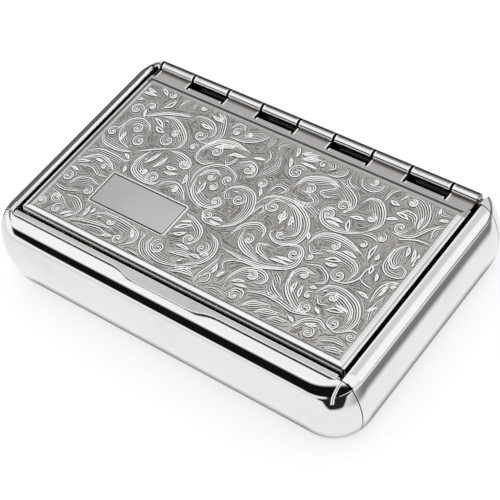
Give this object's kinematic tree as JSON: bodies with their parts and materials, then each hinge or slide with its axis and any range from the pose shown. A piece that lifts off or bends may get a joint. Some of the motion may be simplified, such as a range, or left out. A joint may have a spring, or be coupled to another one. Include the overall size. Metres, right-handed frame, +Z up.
{
  "type": "cigarette case",
  "caption": "Flat metal pocket case with a scroll-engraved inset lid on a piano hinge, a thumb wave in its front rim, a lined tray and a sprung retaining bar.",
  "frame": {"origin": "middle of the flat underside, on the surface the case lies on", "axes": "+X along the hinge towards the right-hand end seen from the front, -Y towards the front edge with the thumb wave, +Z up out of the lid"},
  "size_m": [0.1128, 0.074, 0.0202],
  "materials": {
    "case_chrome": "bright polished plating with light wear",
    "engraved_lid": "bright plating, engraved with scrolls over a fine lined ground",
    "hinge_plate": "plated, slightly dulled in the gaps",
    "tray_lining": "thin gilt wash over drawn sheet",
    "spring_steel": "rolled and blued",
    "pin_wire": "drawn wire",
    "bracket_brass": "stamped, satin",
    "rivet_brass": "tumbled",
    "bar_plate": "plated strip with a beaded edge"
  },
  "bodies": {
    "case": {"base_shell": "case_chrome", "left_side_rail": "case_chrome", "right_side_rail": "case_chrome", "front_strip": "case_chrome", "tray_liner": "tray_lining", "catch_spring": "spring_steel", "catch_rivets": "rivet_brass", "body_hinge_leaf": "hinge_plate", "hinge_pin": "pin_wire"},
    "lid": {"lid_plate": "engraved_lid", "lid_hinge_leaf": "hinge_plate", "lid_liner": "tray_lining", "catch_tongue": "spring_steel", "left_bar_bracket": "bracket_brass", "right_bar_bracket": "bracket_brass", "bracket_rivets": "rivet_brass", "bar_pin": "pin_wire"},
    "retainer": {"retaining_bar": "bar_plate", "left_bar_spring": "spring_steel", "right_bar_spring": "spring_steel"}
  },
  "joints": [
    {"name": "lid_hinge", "type": "hinge", "parent": "case", "child": "lid", "pos_m": [0, 0.0311, 0.0187], "axis": [-1, 0, 0], "range_deg": [0, 115]},
    {"name": "bar_hinge", "type": "hinge", "parent": "lid", "child": "retainer", "pos_m": [0, 0.008, 0.0159], "axis": [1, 0, 0], "range_deg": [0, 80], "stiffness_Nm_per_rad": 0.004, "springref_deg": -34.38}
  ]
}
